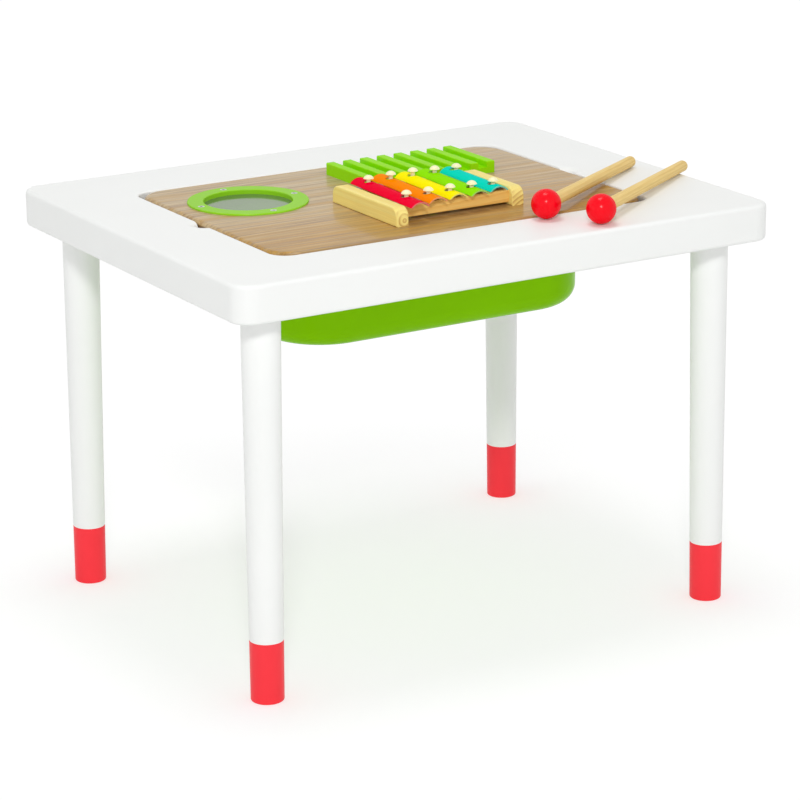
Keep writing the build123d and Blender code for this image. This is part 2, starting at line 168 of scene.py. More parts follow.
def surface_film():
    """Sprayed or moulded skin: ripple, uneven gloss and a slow change of tone."""
    name = "surface_film"
    if name in bpy.data.node_groups:
        return bpy.data.node_groups[name]
    tree, start, end = new_group(
        name,
        [
            ("Vector", "Vector", None),
            ("Ripple Size", "Float", 0.006),
            ("Grain Size", "Float", 0.0008),
            ("Grain Share", "Float", 0.3),
            ("Roughness", "Float", 0.3),
            ("Roughness Spread", "Float", 0.08),
        ],
        [("Tone", "Float"), ("Roughness", "Float"), ("Height", "Float")],
    )
    vector = start.outputs["Vector"]
    ripple_scale = maths(tree, "DIVIDE", 1.0, start.outputs["Ripple Size"])
    grain_scale = maths(tree, "DIVIDE", 1.0, start.outputs["Grain Size"])
    ripple = noise(tree, vector, ripple_scale, detail=1.0)
    grain = noise(tree, vector, grain_scale, roughness=0.6)
    patches = noise(tree, vector, FILM_PATCHES, detail=3.0, roughness=0.6)
    wipes = long_noise(tree, vector, FILM_WIPES)
    wipe_share, mean, full_swing, glossiest = 0.5, 0.75, 3.0, 0.03
    uneven = maths(tree, "ADD", patches, maths(tree, "MULTIPLY", wipes, wipe_share))
    centred = maths(tree, "SUBTRACT", uneven, mean)
    wide = maths(tree, "MULTIPLY", centred, start.outputs["Roughness Spread"])
    rough = maths(tree, "MULTIPLY_ADD", wide, full_swing, start.outputs["Roughness"])
    height = maths(tree, "MULTIPLY_ADD", grain, start.outputs["Grain Share"], ripple)
    tree.links.new(ramp(tree, patches, NOISE_LOW, NOISE_HIGH), end.inputs["Tone"])
    tree.links.new(maths(tree, "MAXIMUM", rough, glossiest), end.inputs["Roughness"])
    tree.links.new(height, end.inputs["Height"])
    arrange(tree)
    return tree


def solid_timber():
    """Timber with growth rings round its grain, which runs along X."""
    name = "solid_timber"
    if name in bpy.data.node_groups:
        return bpy.data.node_groups[name]
    tree, start, end = new_group(
        name,
        [
            ("Vector", "Vector", None),
            ("Ring Spacing", "Float", 0.003),
            ("Wander", "Float", 0.8),
            ("Early Wood", "Color", (0.75, 0.58, 0.25, 1.0)),
            ("Late Wood", "Color", (0.6, 0.38, 0.12, 1.0)),
            ("Ring Strength", "Float", 0.6),
            ("Fibre Strength", "Float", 0.25),
        ],
        [("Color", "Color"), ("Height", "Float"), ("Gloss", "Float")],
    )
    vector = start.outputs["Vector"]
    axes = axes_of(tree, vector)
    depth_squared = maths(tree, "MULTIPLY", axes[2], axes[2])
    radius = maths(tree, "SQRT", maths(tree, "MULTIPLY_ADD", axes[1], axes[1], depth_squared))
    drift = long_noise(tree, vector, RING_DRIFT)
    count = maths(tree, "DIVIDE", radius, start.outputs["Ring Spacing"])
    wandered = maths(tree, "MULTIPLY_ADD", drift, start.outputs["Wander"], count)
    within = maths(tree, "FRACT", wandered)
    darkens, darkest, fades = 0.25, 0.85, 0.9
    growing, ending = ramp(tree, within, darkens, darkest), ramp(tree, within, 1.0, fades)
    late = maths(tree, "MULTIPLY", growing, ending)
    fibre = long_noise(tree, vector, TIMBER_FIBRES, detail=3.0, roughness=0.65)
    patches = long_noise(tree, vector, TIMBER_PATCHES)
    strength = maths(tree, "MULTIPLY", late, start.outputs["Ring Strength"])
    faint_patch, full_patch, faintest = 0.25, 0.6, 0.45
    patchy = ramp(tree, patches, faint_patch, full_patch, faintest, 1.0)
    uneven = maths(tree, "MULTIPLY", strength, patchy)
    rings = blend(tree, uneven, start.outputs["Early Wood"], start.outputs["Late Wood"])
    darkest_fibre = 0.72
    shade = grey(tree, ramp(tree, fibre, NOISE_LOW, NOISE_HIGH, darkest_fibre, 1.0))
    colour = blend(tree, start.outputs["Fibre Strength"], rings, shade, "MULTIPLY")
    raised_ring, dull_ring = 0.5, 0.2
    height = maths(tree, "MULTIPLY_ADD", late, raised_ring, fibre)
    gloss = maths(tree, "SUBTRACT", fibre, maths(tree, "MULTIPLY", late, dull_ring))
    tree.links.new(colour, end.inputs["Color"])
    tree.links.new(height, end.inputs["Height"])
    tree.links.new(gloss, end.inputs["Gloss"])
    arrange(tree)
    return tree


def bamboo_strips():
    """Flat bamboo strips glued side by side, with their fibres along X."""
    name = "bamboo_strips"
    if name in bpy.data.node_groups:
        return bpy.data.node_groups[name]
    tree, start, end = new_group(
        name,
        [
            ("Vector", "Vector", None),
            ("Strip Width", "Float", 0.02),
            ("Warmth", "Float", 0.5),
            ("Pale", "Color", (0.5, 0.33, 0.15, 1.0)),
            ("Warm", "Color", (0.42, 0.22, 0.08, 1.0)),
            ("Smoky", "Color", (0.3, 0.2, 0.11, 1.0)),
        ],
        [("Color", "Color"), ("Height", "Float"), ("Gloss", "Float")],
    )
    vector = start.outputs["Vector"]
    across = maths(tree, "DIVIDE", axes_of(tree, vector)[1], start.outputs["Strip Width"])
    row = maths(tree, "FLOOR", across)
    chance = add(tree, "ShaderNodeTexWhiteNoise", {"W": row}, noise_dimensions="1D").outputs
    tones = add(tree, "ShaderNodeSeparateColor", {0: chance["Color"]}).outputs
    from_middle = maths(tree, "SUBTRACT", maths(tree, "FRACT", across), 0.5)
    seam_starts = 0.485
    seam = ramp(tree, maths(tree, "ABSOLUTE", from_middle), seam_starts, 0.5)
    drift = long_noise(tree, vector, BAMBOO_DRIFT, detail=3.0, roughness=0.6)
    fibre = long_noise(tree, vector, BAMBOO_FIBRES, detail=4.0, roughness=0.7)
    bundle = long_noise(tree, vector, BAMBOO_BUNDLES, detail=3.0, roughness=0.6)
    strip_share, mean, swing = 0.5, 0.75, 0.6
    cool, golden = 0.35, 0.65
    uneven = maths(tree, "MULTIPLY_ADD", tones[0], strip_share, ramp(tree, drift, cool, golden))
    centred = maths(tree, "SUBTRACT", uneven, mean)
    warmth = maths(tree, "MULTIPLY_ADD", centred, swing, start.outputs["Warmth"])
    warmth = maths(tree, "MINIMUM", maths(tree, "MAXIMUM", warmth, 0.0), 1.0)
    body = blend(tree, warmth, start.outputs["Pale"], start.outputs["Warm"])
    least_smoke, most_smoke = 0.35, 0.65
    clear, smoked = 0.42, 0.68
    smoke = maths(tree, "ADD", tones[1], least_smoke)
    smoke = maths(tree, "MULTIPLY", ramp(tree, bundle, clear, smoked), smoke)
    body = blend(tree, maths(tree, "MINIMUM", smoke, most_smoke), body, start.outputs["Smoky"])
    fibre_low, fibre_high = 0.35, 0.6
    darkest_fibre, palest_fibre, seam_shade = 0.72, 1.02, 0.9
    fibre_shade = ramp(tree, fibre, fibre_low, fibre_high, darkest_fibre, palest_fibre)
    shade = maths(tree, "MULTIPLY", fibre_shade, ramp(tree, seam, 0.0, 1.0, 1.0, seam_shade))
    colour = blend(tree, 1.0, body, grey(tree, shade), "MULTIPLY")
    seam_depth = 0.3
    height = maths(tree, "SUBTRACT", fibre, maths(tree, "MULTIPLY", seam, seam_depth))
    gloss = maths(tree, "MULTIPLY_ADD", bundle, 0.5, maths(tree, "MULTIPLY", fibre, 0.5))
    tree.links.new(colour, end.inputs["Color"])
    tree.links.new(height, end.inputs["Height"])
    tree.links.new(gloss, end.inputs["Gloss"])
    arrange(tree)
    return tree


# Materials

SHADER_SOCKETS = {
    "shine": "Specular IOR Level",
    "coat": "Coat Weight",
    "coat_roughness": "Coat Roughness",
    "metal": "Metallic",
}


def finish_material(name, roughness, **shader):
    """Empty material, its tree, its shader and the piece's own coordinates."""
    material = bpy.data.materials.new(name)
    material.use_nodes = True
    tree = material.node_tree
    bsdf = tree.nodes["Principled BSDF"]
    bsdf.inputs["Roughness"].default_value = roughness
    for key, value in shader.items():
        bsdf.inputs[SHADER_SOCKETS[key]].default_value = value
    place = add(tree, "ShaderNodeTexCoord").outputs["Object"]
    return material, tree, bsdf, place


def grooved(tree, bsdf, height, depth):
    """Turn a height into the shader's normal."""
    bump = add(tree, "ShaderNodeBump", {"Strength": 1.0, "Distance": depth, "Height": height})
    tree.links.new(bump.outputs["Normal"], bsdf.inputs["Normal"])


def coated(
    name,
    colour,
    roughness,
    spread=0.05,
    ripple=0.006,
    depth=0.00003,
    tone=0.04,
    grain=0.0009,
    **shader,
):
    """Paint, lacquer or moulded plastic in one colour."""
    material, tree, bsdf, place = finish_material(name, roughness, **shader)
    inputs = {
        "Vector": place,
        "Ripple Size": ripple,
        "Grain Size": grain,
        "Roughness": roughness,
        "Roughness Spread": spread,
    }
    film = add(tree, "ShaderNodeGroup", inputs, node_tree=surface_film())
    full = (*colour, 1.0)
    deep = (*[c * (1.0 - tone) for c in colour], 1.0)
    tree.links.new(blend(tree, film.outputs["Tone"], deep, full), bsdf.inputs["Base Color"])
    tree.links.new(film.outputs["Roughness"], bsdf.inputs["Roughness"])
    grooved(tree, bsdf, film.outputs["Height"], depth)
    arrange(tree)
    return material


def timber(
    name,
    early,
    late,
    spacing,
    turn,
    pith,
    roughness,
    rings=0.6,
    fibres=0.3,
    wander=0.8,
    **shader,
):
    """Clear-coated timber whose grain is turned and set round its pith."""
    material, tree, bsdf, place = finish_material(name, roughness, **shader)
    away = add(tree, "ShaderNodeVectorMath", {0: place, 1: pith}, operation="SUBTRACT").outputs[0]
    inputs = {"Vector": away, "Rotation": turn}
    along_grain = add(tree, "ShaderNodeMapping", inputs, vector_type="POINT").outputs[0]
    inputs = {
        "Vector": along_grain,
        "Ring Spacing": spacing,
        "Wander": wander,
        "Early Wood": (*early, 1.0),
        "Late Wood": (*late, 1.0),
        "Ring Strength": rings,
        "Fibre Strength": fibres,
    }
    wood = add(tree, "ShaderNodeGroup", inputs, node_tree=solid_timber())
    tree.links.new(wood.outputs["Color"], bsdf.inputs["Base Color"])
    dull, glossy = roughness + 0.08, roughness - 0.04
    gloss = ramp(tree, wood.outputs["Gloss"], NOISE_LOW, NOISE_HIGH, dull, glossy)
    tree.links.new(gloss, bsdf.inputs["Roughness"])
    grooved(tree, bsdf, wood.outputs["Height"], TIMBER_RELIEF)
    arrange(tree)
    return material


def dress(names, material):
    """Give pieces a material in their own slot."""
    for name in names:
        if name not in PIECES:
            raise RuntimeError(f"the frame has no piece named {name}")
        mesh = PIECES[name].data
        mesh.materials.clear()
        mesh.materials.append(material)


def middle(name):
    """Middle of a piece's box."""
    low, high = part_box(name)
    return (low + high) / 2


# Settings


def colour_setting(name, default, description):
    """Colour property."""
    return bpy.props.FloatVectorProperty(
        name=name,
        description=description,
        default=default,
        size=3,
        min=0.0,
        max=1.0,
        subtype="COLOR",
    )


def share_setting(name, default, description):
    """Property between 0 and 1."""
    return bpy.props.FloatProperty(
        name=name,
        description=description,
        default=default,
        min=0.0,
        max=1.0,
        subtype="FACTOR",
    )


def level_setting(name, default, description):
    """Property for a strength of light, where 1 is plain white."""
    return bpy.props.FloatProperty(
        name=name,
        description=description,
        default=default,
        min=0.0,
        soft_max=2.0,
    )


def length_setting(name, default, description):
    """Length property."""
    return bpy.props.FloatProperty(
        name=name,
        description=description,
        default=default,
        min=0.0001,
        unit="LENGTH",
        subtype="DISTANCE",
    )


def angle_setting(name, default, description):
    """Angle property."""
    return bpy.props.FloatProperty(
        name=name,
        description=description,
        default=default,
        unit="ROTATION",
        subtype="ANGLE",
    )


def power_setting(name, default, description):
    """Lamp power property."""
    return bpy.props.FloatProperty(
        name=name,
        description=description,
        default=default,
        min=0.0,
        unit="POWER",
    )


def place_setting(name, default, description):
    """Property for a place in the room."""
    return bpy.props.FloatVectorProperty(
        name=name,
        description=description,
        default=default,
        size=3,
        unit="LENGTH",
        subtype="TRANSLATION",
    )


def group_setting(kind, name, description):
    """Property that holds a group of settings."""
    return bpy.props.PointerProperty(type=kind, name=name, description=description)


class TableFinish(bpy.types.PropertyGroup):
    white: colour_setting("White", (0.895, 0.905, 0.89), "Lacquer on the top and legs")
    white_roughness: share_setting("White Roughness", 0.5, "How satin the white lacquer is")
    orange_peel: length_setting("Orange Peel", 0.007, "Size of the ripples in the sprayed lacquer")
    foot: colour_setting("Foot", (0.99, 0.04, 0.056), "Colour of the foot caps")
    foot_roughness: share_setting("Foot Roughness", 0.4, "How satin the foot caps are")


class TubFinish(bpy.types.PropertyGroup):
    green: colour_setting("Green", (0.235, 0.59, 0.0), "Colour of the moulded tub")
    roughness: share_setting("Roughness", 0.22, "Gloss of the moulded tub")
    ripple: length_setting("Ripple", 0.03, "Size of the moulding's waves")


class BoardFinish(bpy.types.PropertyGroup):
    pale: colour_setting("Pale", (0.61, 0.475, 0.28), "Palest bamboo")
    warm: colour_setting("Warm", (0.54, 0.305, 0.068), "Golden bamboo")
    smoky: colour_setting("Smoky", (0.34, 0.21, 0.115), "Greyest fibres")
    # Painted shade: the board's steep sides are darkened towards this colour, in place of the
    # shadow in the gap round the board.
    painted_side_shade: colour_setting("Cut Edge", (0.36, 0.31, 0.28), "How the cut sides darken")
    # Painted sheen: the bamboo runs from golden at the front to paler at the back, in place of the
    # sheen that grows towards the back.
    painted_sheen_front_warmth: share_setting("Front Warmth", 0.9, "How golden the front strips are")
    painted_sheen_back_warmth: share_setting("Back Warmth", 0.1, "How golden the back strips are")
    strip_width: length_setting("Strip Width", 0.02, "Width of one bamboo strip")
    roughness: share_setting("Roughness", 0.33, "How satin the clear coat is")


class DrumFinish(bpy.types.PropertyGroup):
    ring: colour_setting("Ring", (0.29, 0.66, 0.015), "Colour of the drum's ring")
    ring_roughness: share_setting("Ring Roughness", 0.25, "Gloss of the ring")
    skin: colour_setting("Skin", (0.13, 0.23, 0.07), "Colour of the drum's skin")
    skin_roughness: share_setting("Skin Roughness", 0.1, "Gloss of the skin")


class ScraperFinish(bpy.types.PropertyGroup):
    green: colour_setting("Green", (0.31, 0.77, 0.002), "Paint on the scraper")
    roughness: share_setting("Roughness", 0.35, "Gloss of the paint")


class XylophoneFinish(bpy.types.PropertyGroup):
    block_pale: colour_setting("Block Pale", (0.95, 0.79, 0.27), "Pale wood of the blocks")
    block_dark: colour_setting("Block Dark", (0.92, 0.71, 0.2), "Dark rings of the blocks")
    block_end: colour_setting("Block End", (0.56, 0.31, 0.08), "Dark rings on the blocks' ends")
    rail_pale: colour_setting("Rail Pale", (0.98, 0.64, 0.19), "Pale wood of the rails")
    rail_dark: colour_setting("Rail Dark", (0.84, 0.47, 0.1), "Dark rings of the rails")
    wood_roughness: share_setting("Wood Roughness", 0.4, "How satin the clear coat is")
    red: colour_setting("Red", (0.88, 0.0, 0.03), "First bar")
    orange: colour_setting("Orange", (1.0, 0.265, 0.0), "Second bar")
    yellow: colour_setting("Yellow", (1.0, 0.92, 0.0), "Third bar")
    green: colour_setting("Green", (0.28, 0.8, 0.0), "Fourth bar")
    teal: colour_setting("Teal", (0.0, 0.7, 0.55), "Fifth bar")
    bar_roughness: share_setting("Bar Roughness", 0.22, "Gloss of the bars' paint")
    # Bare metal also pales the bars' cut ends, partly as worn paint and partly as a painted
    # reflection.
    bare_metal: colour_setting("Bare Metal", (0.55, 0.5, 0.43), "Undersides of the bars")
    pin: colour_setting("Pin", (0.93, 0.89, 0.54), "Colour of the pins")
    pin_roughness: share_setting("Pin Roughness", 0.3, "Gloss of the pins")
    felt: colour_setting("Felt", (0.3, 0.28, 0.25), "Colour of the felt strips")


class MalletFinish(bpy.types.PropertyGroup):
    head: colour_setting("Head", (0.92, 0.0, 0.01), "Paint on the heads")
    head_roughness: share_setting("Head Roughness", 0.12, "Gloss of the heads")
    handle_pale: colour_setting("Handle Pale", (0.86, 0.62, 0.22), "Pale wood of the handles")
    handle_dark: colour_setting("Handle Dark", (0.7, 0.44, 0.13), "Dark rings of the handles")
    handle_roughness: share_setting("Handle Roughness", 0.45, "How satin the handles are")


class HardwareFinish(bpy.types.PropertyGroup):
    zinc: colour_setting("Zinc", (0.62, 0.63, 0.62), "Plating on screws and bolts")
    zinc_roughness: share_setting("Zinc Roughness", 0.35, "How dull the plating is")
    brass: colour_setting("Brass", (0.72, 0.5, 0.2), "Threaded inserts")
    brass_roughness: share_setting("Brass Roughness", 0.3, "How dull the inserts are")


class StageSettings(bpy.types.PropertyGroup):
    camera_place: place_setting(
        "Camera Place", (-1.68356, -2.81956, 1.23648), "Where the camera stands"
    )
    camera_yaw: angle_setting("Camera Yaw", 0.5406, "Turn from +Y towards +X")
    camera_pitch: angle_setting("Camera Pitch", 0.2995, "Tilt below the horizon")
    camera_roll: angle_setting("Camera Roll", -0.0085, "Turn about the view")
    lens: bpy.props.FloatProperty(
        name="Lens",
        description="Focal length on a 36 mm sensor",
        default=138.785,
        min=1.0,
        unit="CAMERA",
    )
    wall_light: level_setting("Wall Light", 1.17, "Light that comes from the sides of the room")
    ceiling_light: level_setting("Ceiling Light", 0.22, "Light that comes from straight above")
    overhead_power: power_setting("Overhead Power", 14.5, "Softbox over the table")
    overhead_size: length_setting("Overhead Size", 0.9, "Width of the softbox over the table")
    overhead_place: place_setting(
        "Overhead Place", (0.0, 0.1, 2.4), "Where it hangs, from the middle of the table"
    )
    key_power: power_setting("Key Power", 56.0, "Softbox above the camera")
    key_size: length_setting("Key Size", 0.55, "Width of the softbox above the camera")
    key_distance: length_setting("Key Distance", 4.4, "How far it is from the table")
    key_rise: angle_setting("Key Rise", radians(32), "How steeply its light falls")
    floor: colour_setting("Floor", (0.92, 0.92, 0.92), "Colour of the floor")
    floor_shadow: share_setting("Floor Shadow", 0.7, "How strongly the floor shows shadows")
    floor_level: level_setting("Floor Level", 0.88, "Light that falls on the floor by the table")
    floor_white: level_setting("Floor White", 1.025, "How bright the plain floor looks")
    shadow_reach: length_setting("Shadow Reach", 0.8, "Where the floor turns plain white")


class ActivityTableSettings(bpy.types.PropertyGroup):
    table: group_setting(TableFinish, "Table", "Top, legs and feet")
    tub: group_setting(TubFinish, "Tub", "Storage tub")
    board: group_setting(BoardFinish, "Board", "Activity board")
    drum: group_setting(DrumFinish, "Drum", "Drum ring and skin")
    scraper: group_setting(ScraperFinish, "Scraper", "Ridged scraper")
    xylophone: group_setting(XylophoneFinish, "Xylophone", "Blocks, rails, bars, pins and felt")
    mallets: group_setting(MalletFinish, "Mallets", "Both mallets")
    hardware: group_setting(HardwareFinish, "Hardware", "Screws, bolts and inserts")
    stage: group_setting(StageSettings, "Stage", "Camera, lamps and floor")


def settings():
    """Settings of the scene."""
    return bpy.context.scene.activity_table


# Operators


class ACTIVITY_TABLE_OT_stage(bpy.types.Operator):
    """Set the camera, the lamps, the room and the floor"""

    bl_idname = "activity_table.stage"
    bl_label = "Stage"

    sensor_width = 36.0
    farthest = 200.0
    floor_reach = 30.0
    full_shadow = 1 / 6

    def camera(self, stage):
        """Place the camera by its turn, tilt and roll."""
        yaw, pitch, roll = stage.camera_yaw, stage.camera_pitch, stage.camera_roll
        ahead = Vector((sin(yaw) * cos(pitch), cos(yaw) * cos(pitch), -sin(pitch)))
        right = ahead.cross(Vector((0, 0, 1))).normalized()
        above = right.cross(ahead)
        side = cos(roll) * right + sin(roll) * above
        top = cos(roll) * above - sin(roll) * right
        data = bpy.data.cameras.new("camera")
        data.sensor_width = self.sensor_width
        data.lens = stage.lens
        data.clip_end = self.farthest
        camera = bpy.data.objects.new("camera", data)
        bpy.context.scene.collection.objects.link(camera)
        turn = Matrix((side, top, -ahead)).transposed().to_4x4()
        camera.matrix_world = Matrix.Translation(stage.camera_place) @ turn
        bpy.context.scene.camera = camera

    def lamp(self, name, place, target, size, power):
        """Aim a round softbox at the target."""
        data = bpy.data.lights.new(name, "AREA")
        data.shape = "DISK"
        data.size = size
        data.energy = power
        lamp = bpy.data.objects.new(name, data)
        bpy.context.scene.collection.objects.link(lamp)
        towards = Vector(target) - Vector(place)
        turn = towards.to_track_quat("-Z", "Y").to_matrix().to_4x4()
        lamp.matrix_world = Matrix.Translation(place) @ turn

    def room(self, stage):
        """Light from all sides, which is plain white to the eye and in gloss."""
        world = bpy.data.worlds.new("room")
        world.use_nodes = True
        tree = world.node_tree
        rays = add(tree, "ShaderNodeLightPath").outputs
        seen = maths(tree, "MAXIMUM", rays["Is Camera Ray"], rays["Is Glossy Ray"])
        seen = maths(tree, "MAXIMUM", seen, rays["Is Transmission Ray"])
        way = add(tree, "ShaderNodeTexCoord").outputs["Generated"]
        rise = axes_of(tree, way)[2]
        inputs = {0: rise, 1: 0.0, 2: 1.0, 3: stage.wall_light, 4: stage.ceiling_light}
        room_light = add(tree, "ShaderNodeMapRange", inputs).outputs[0]
        inputs = {0: seen, 1: 0.0, 2: 1.0, 3: room_light, 4: 1.0}
        strength = add(tree, "ShaderNodeMapRange", inputs).outputs[0]
        background = tree.nodes["Background"]
        background.inputs["Color"].default_value = (1.0, 1.0, 1.0, 1.0)
        tree.links.new(strength, background.inputs["Strength"])
        arrange(tree)
        bpy.context.scene.world = world

    def floor(self, stage):
        """White floor that keeps the table's soft shadow."""
        mesh = bpy.data.meshes.new("studio_floor")
        far = self.floor_reach
        corners = [(-far, -far, 0), (far, -far, 0), (far, far, 0), (-far, far, 0)]
        mesh.from_pydata(corners, [], [(0, 1, 2, 3)])
        floor = bpy.data.objects.new("studio_floor", mesh)
        bpy.context.scene.collection.objects.link(floor)
        material = bpy.data.materials.new("studio_floor")
        material.use_nodes = True
        tree = material.node_tree
        tree.nodes.remove(tree.nodes["Principled BSDF"])
        plain = add(tree, "ShaderNodeBsdfDiffuse", {"Color": (*stage.floor, 1.0)}).outputs[0]
        place = add(tree, "ShaderNodeTexCoord").outputs["Object"]
        away = add(tree, "ShaderNodeVectorMath", {0: place}, operation="LENGTH").outputs["Value"]
        near, reach = self.full_shadow * stage.shadow_reach, stage.shadow_reach
        share = ramp(tree, away, near, reach, stage.floor_shadow, 0.0)
        shaded = grey(tree, maths(tree, "DIVIDE", share, stage.floor_level))
        shown = add(tree, "ShaderNodeBsdfDiffuse", {"Color": shaded}).outputs[0]
        rest = maths(tree, "SUBTRACT", stage.floor_white, share)
        lift = add(tree, "ShaderNodeEmission", {"Strength": rest}).outputs[0]
        bright = add(tree, "ShaderNodeAddShader", {0: shown, 1: lift}).outputs[0]
        rays = add(tree, "ShaderNodeLightPath").outputs
        seen = maths(tree, "MAXIMUM", rays["Is Camera Ray"], rays["Is Glossy Ray"])
        mixed = add(tree, "ShaderNodeMixShader", {0: seen, 1: plain, 2: bright}).outputs[0]
        tree.links.new(mixed, tree.nodes["Material Output"].inputs["Surface"])
        arrange(tree)
        mesh.materials.append(material)

    def execute(self, context):
        stage = settings().stage
        self.camera(stage)
        centre = (CAD_LOW + CAD_HIGH) / 2
        yaw, rise = stage.camera_yaw, stage.key_rise
        towards_key = Vector((-sin(yaw) * cos(rise), -cos(yaw) * cos(rise), sin(rise)))
        key = centre + stage.key_distance * towards_key
        overhead = centre + Vector(stage.overhead_place)
        self.lamp("key", key, centre, stage.key_size, stage.key_power)
        self.lamp("overhead", overhead, centre, stage.overhead_size, stage.overhead_power)
        self.room(stage)
        self.floor(stage)
        bpy.context.scene.view_settings.view_transform = "Standard"
        return {"FINISHED"}


class ACTIVITY_TABLE_OT_table(bpy.types.Operator):
    """Lacquer the top and legs white and the foot caps red"""

    bl_idname = "activity_table.table"
    bl_label = "Top, Legs and Feet"

    def execute(self, context):
        finish = settings().table
        white = coated(
            "white_lacquer",
            finish.white,
            finish.white_roughness,
            spread=0.06,
            ripple=finish.orange_peel,
            depth=0.00002,
            tone=0.012,
            shine=0.35,
        )
        red = coated(
            "foot_red",
            finish.foot,
            finish.foot_roughness,
            ripple=0.004,
            tone=0.05,
            shine=0.2,
        )
        dress(["table_top"] + ["leg_" + side for side in SIDES], white)
        dress(["foot_" + side for side in SIDES], red)
        return {"FINISHED"}


class ACTIVITY_TABLE_OT_tub(bpy.types.Operator):
    """Give the tub its moulded green"""

    bl_idname = "activity_table.tub"
    bl_label = "Tub"

    def execute(self, context):
        finish = settings().tub
        green = coated(
            "tub_green",
            finish.green,
            finish.roughness,
            ripple=finish.ripple,
            depth=0.0001,
            tone=0.06,
            grain=0.0006,
            shine=0.04,
        )
        dress(["tub"], green)
        return {"FINISHED"}


class ACTIVITY_TABLE_OT_board(bpy.types.Operator):
    """Cover the activity board in coated bamboo"""

    bl_idname = "activity_table.board"
    bl_label = "Board"

    def execute(self, context):
        finish = settings().board
        rough = finish.roughness
        material, tree, bsdf, place = finish_material(
            "bamboo", rough, shine=0.05, coat=0.25, coat_roughness=0.1
        )
        low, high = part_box("activity_board")
        depth = axes_of(tree, place)[1]
        inputs = {
            "Vector": place,
            "Strip Width": finish.strip_width,
            # Painted sheen: warmth eased from the board's front to its back, paler at the back.
            "Warmth": ramp(tree, depth, low.y, high.y, finish.painted_sheen_front_warmth, finish.painted_sheen_back_warmth),
            "Pale": (*finish.pale, 1.0),
            "Warm": (*finish.warm, 1.0),
            "Smoky": (*finish.smoky, 1.0),
        }
        strips = add(tree, "ShaderNodeGroup", inputs, node_tree=bamboo_strips()).outputs
        # Painted shade: where the surface turns steep, the bamboo is multiplied towards the
        # side-shade colour, in place of the shadow that falls in the gap round the board and in
        # the finger notches.
        upright = maths(tree, "ABSOLUTE", normal_axes(tree)[2])
        flat, steep = 0.55, 0.2
        side = ramp(tree, upright, flat, steep)
        dark = blend(tree, 1.0, strips["Color"], (*finish.painted_side_shade, 1.0), "MULTIPLY")
        tree.links.new(blend(tree, side, strips["Color"], dark), bsdf.inputs["Base Color"])
        dull, glossy = rough + 0.08, rough - 0.06
        gloss = ramp(tree, strips["Gloss"], NOISE_LOW, NOISE_HIGH, dull, glossy)
        tree.links.new(gloss, bsdf.inputs["Roughness"])
        grooved(tree, bsdf, strips["Height"], BAMBOO_RELIEF)
        arrange(tree)
        dress(["activity_board"], material)
        return {"FINISHED"}


class ACTIVITY_TABLE_OT_drum(bpy.types.Operator):
    """Colour the drum's ring and its skin"""

    bl_idname = "activity_table.drum"
    bl_label = "Drum"

    def execute(self, context):
        finish = settings().drum
        ring = coated(
            "ring_green",
            finish.ring,
            finish.ring_roughness,
            ripple=0.01,
            depth=0.00005,
            shine=0.0,
            coat=0.35,
            coat_roughness=0.2,
        )
        skin = coated(
            "drum_skin",
            finish.skin,
            finish.skin_roughness,
            spread=0.03,
            ripple=0.02,
            depth=0.00008,
            tone=0.15,
            shine=0.4,
        )
        dress(["drum_ring"], ring)
        dress(["drum_skin"], skin)
        return {"FINISHED"}


class ACTIVITY_TABLE_OT_scraper(bpy.types.Operator):
    """Paint the ridged scraper"""

    bl_idname = "activity_table.scraper"
    bl_label = "Scraper"

    def execute(self, context):
        finish = settings().scraper
        green = coated(
            "scraper_green",
            finish.green,
            finish.roughness,
            ripple=0.005,
            depth=0.00005,
            tone=0.06,
            shine=0.0,
            coat=0.25,
            coat_roughness=0.2,
        )
        dress(["guiro"], green)
        return {"FINISHED"}


